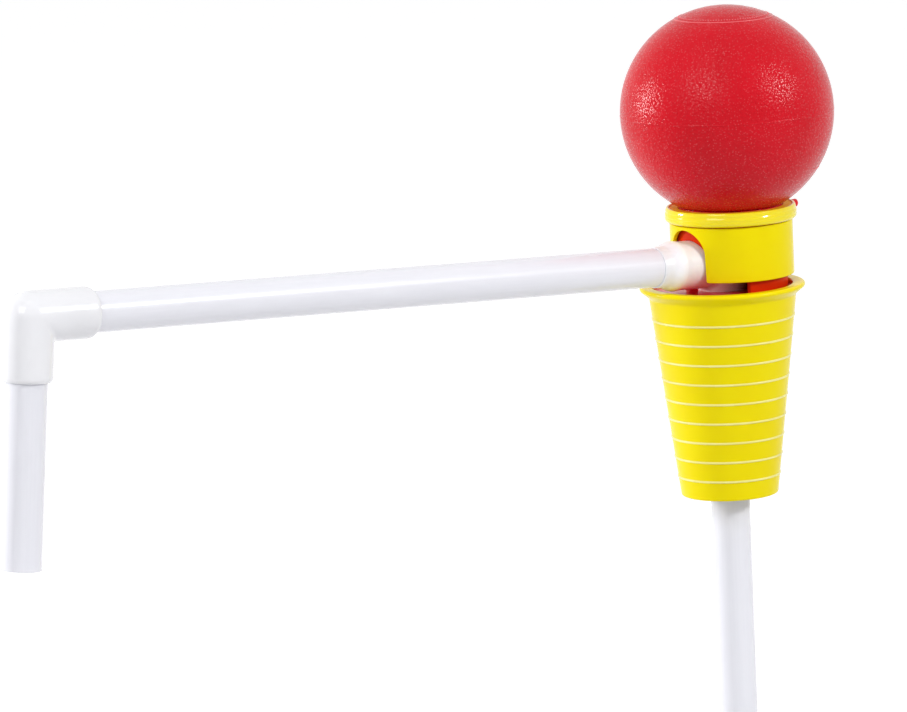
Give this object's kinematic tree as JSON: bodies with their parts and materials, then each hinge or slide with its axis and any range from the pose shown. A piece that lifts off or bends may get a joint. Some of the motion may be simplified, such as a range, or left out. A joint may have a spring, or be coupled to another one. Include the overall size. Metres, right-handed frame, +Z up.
{
  "type": "siphon bulb pump",
  "caption": "Hand siphon pump for canisters: a squeeze bulb over a ringed cone stopper, with a riser pipe, a swivelling spout, a long discharge pipe and an elbow outlet.",
  "frame": {"origin": "On the axis of the cone stopper, in the plane of the container's mouth that the cone sits in. The riser pipe, the spout's foot and the stopper share this axis.", "axes": "+Z is up along the stopper's axis, out of the container. The spout and the discharge pipe point along -X, rising a little, and the vent knob points along +X. +Y completes a right-handed frame."},
  "size_m": [0.4328, 0.0936, 0.5729],
  "materials": {
    "yellow_plastic": "satin",
    "red_plastic": "gloss",
    "orange_red_plastic": "gloss",
    "bulb_plastic": "satin",
    "natural_plastic": "translucent satin",
    "pipe_plastic": "translucent gloss",
    "white_plastic": "gloss",
    "seal_rubber": "matte",
    "valve_rubber": "matte"
  },
  "bodies": {
    "stopper": {"stopper": "yellow_plastic"},
    "head": {"base_disc": "red_plastic", "base_seal": "seal_rubber", "spout_seal": "seal_rubber", "spout": "natural_plastic", "riser_pipe": "pipe_plastic", "discharge_pipe": "pipe_plastic", "valve_housing": "orange_red_plastic", "valve_plate": "natural_plastic", "cap": "yellow_plastic", "bulb": "bulb_plastic", "collar_ring": "yellow_plastic"},
    "outlet": {"elbow": "white_plastic", "outlet_pipe": "pipe_plastic"},
    "crown": {"bulb_crown": "bulb_plastic"},
    "vent": {"vent_knob": "red_plastic"},
    "intake_valve": {"intake_valve": "valve_rubber"},
    "delivery_valve": {"delivery_valve": "valve_rubber"}
  },
  "joints": [
    {"name": "head_swivel", "type": "hinge", "parent": "stopper", "child": "head", "pos_m": [0, 0, 0.0462], "axis": [0, 0, 1], "continuous": true},
    {"name": "elbow_swivel", "type": "hinge", "parent": "head", "child": "outlet", "pos_m": [-0.36073, 0, 0.08399], "axis": [-0.9979, 0, 0.0654], "range_deg": [-90, 90]},
    {"name": "bulb_press", "type": "slide", "parent": "head", "child": "crown", "axis": [0, 0, -1], "range_m": [0, 0.025], "stiffness_N_per_m": 2400, "deforming": ["bulb"]},
    {"name": "vent_pull", "type": "slide", "parent": "head", "child": "vent", "axis": [1, 0, 0], "range_m": [0, 0.003]},
    {"name": "intake_valve_lift", "type": "slide", "parent": "head", "child": "intake_valve", "axis": [0, 0, 1], "range_m": [0, 0.0015], "stiffness_N_per_m": 50},
    {"name": "delivery_valve_drop", "type": "slide", "parent": "head", "child": "delivery_valve", "axis": [0, 0, -1], "range_m": [0, 0.0015], "stiffness_N_per_m": 50}
  ]
}
